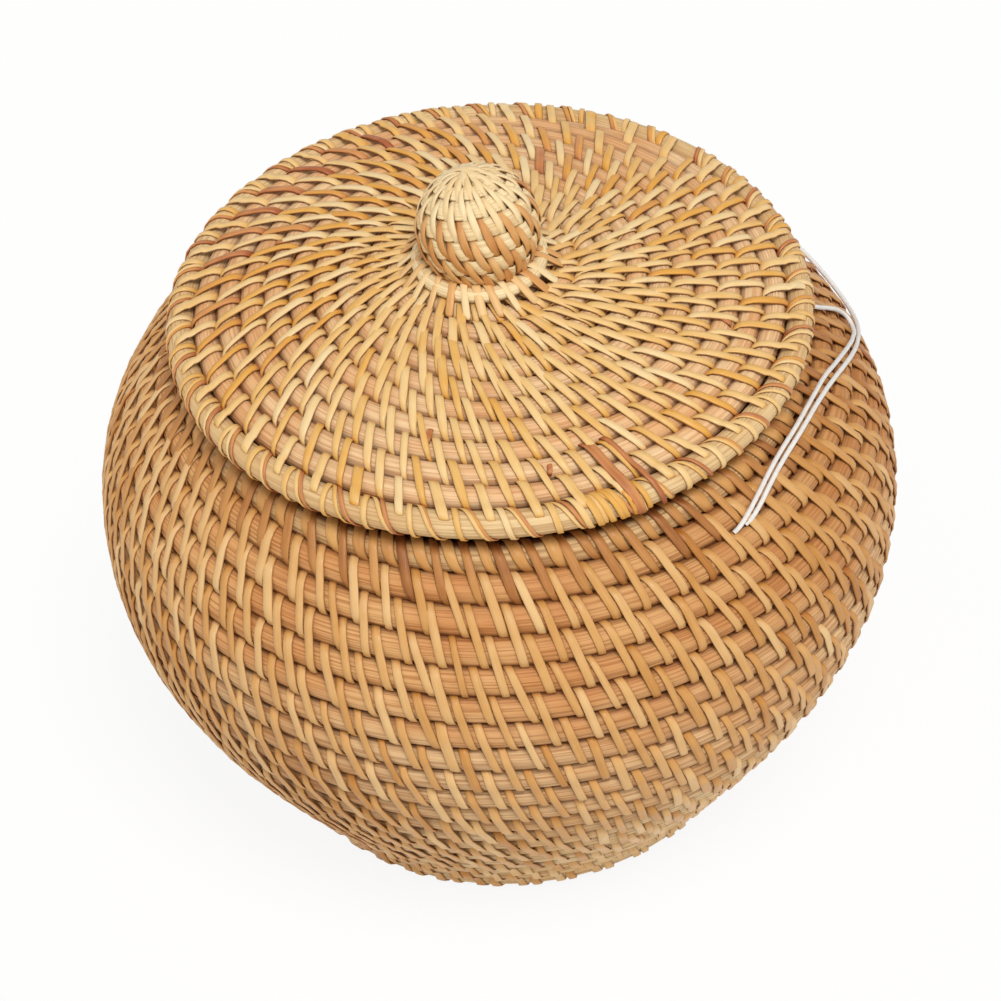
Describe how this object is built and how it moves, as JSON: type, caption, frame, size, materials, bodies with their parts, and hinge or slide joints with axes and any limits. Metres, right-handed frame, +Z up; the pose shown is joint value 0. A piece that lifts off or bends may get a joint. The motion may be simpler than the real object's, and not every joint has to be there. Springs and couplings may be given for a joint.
{
  "type": "lidded woven pot",
  "caption": "Squat round pot of coiled rattan with a domed lift-off lid, a woven ball knob and a white thread laid along its shoulder.",
  "frame": {"origin": "centre of the pot's flat underside", "axes": "+Z up through the middle of the lid, -Y towards the side that faces the camera, +X to the side where the thread lies"},
  "size_m": [0.188, 0.188, 0.1763],
  "materials": {
    "pot_reed": "matte split rattan, pale tan with fine lengthwise grain",
    "shoulder_reed": "matte split rattan, pinkish tan with fine lengthwise grain",
    "mouth_reed": "matte split rattan, cream tan",
    "pot_strip": "satin rattan peel, golden tan",
    "lid_reed": "matte split rattan, pinkish cream",
    "lid_rim_reed": "matte split rattan, pale cream",
    "lid_strip": "satin rattan peel, cream yellow",
    "knob_filling": "matte brown",
    "knob_hoop": "satin rattan peel, tan brown",
    "knob_splint": "satin rattan peel, cream",
    "thread": "matte white thread"
  },
  "bodies": {
    "pot": {"base_centre_coil": "pot_reed", "base_outer_coil": "pot_reed", "foot_coil": "pot_reed", "lower_wall_coil": "pot_reed", "belly_coil": "pot_reed", "shoulder_coil": "shoulder_reed", "mouth_rim_coil": "mouth_reed", "mouth_rim_binding": "pot_strip", "inner_thread_strand": "thread", "outer_thread_strand": "thread"},
    "lid": {"lid_centre_coil": "lid_reed", "lid_middle_coil": "lid_reed", "lid_outer_coil": "lid_reed", "lid_rim_coil": "lid_rim_reed", "lid_rim_binding": "lid_strip", "lid_seat_coil": "lid_reed", "lid_collar_coil": "lid_reed", "knob_core": "knob_filling", "knob_neck_ring": "lid_reed", "knob_tie_ring": "lid_strip", "knob_hoop_1": "knob_hoop", "knob_hoop_2": "knob_hoop", "knob_hoop_3": "knob_hoop", "knob_splint_01": "knob_splint", "knob_splint_02": "knob_splint", "knob_splint_03": "knob_splint", "knob_splint_04": "knob_splint", "knob_splint_05": "knob_splint", "knob_splint_06": "knob_splint", "knob_splint_07": "knob_splint", "knob_splint_08": "knob_splint", "knob_splint_09": "knob_splint", "knob_splint_10": "knob_splint", "knob_splint_11": "knob_splint", "knob_splint_12": "knob_splint", "knob_splint_13": "knob_splint", "knob_splint_14": "knob_splint", "knob_splint_15": "knob_splint", "knob_splint_16": "knob_splint"}
  },
  "joints": [
    {"name": "lid_lift", "type": "slide", "parent": "pot", "child": "lid", "axis": [0, 0, 1], "range_m": [0, 0.08]}
  ]
}
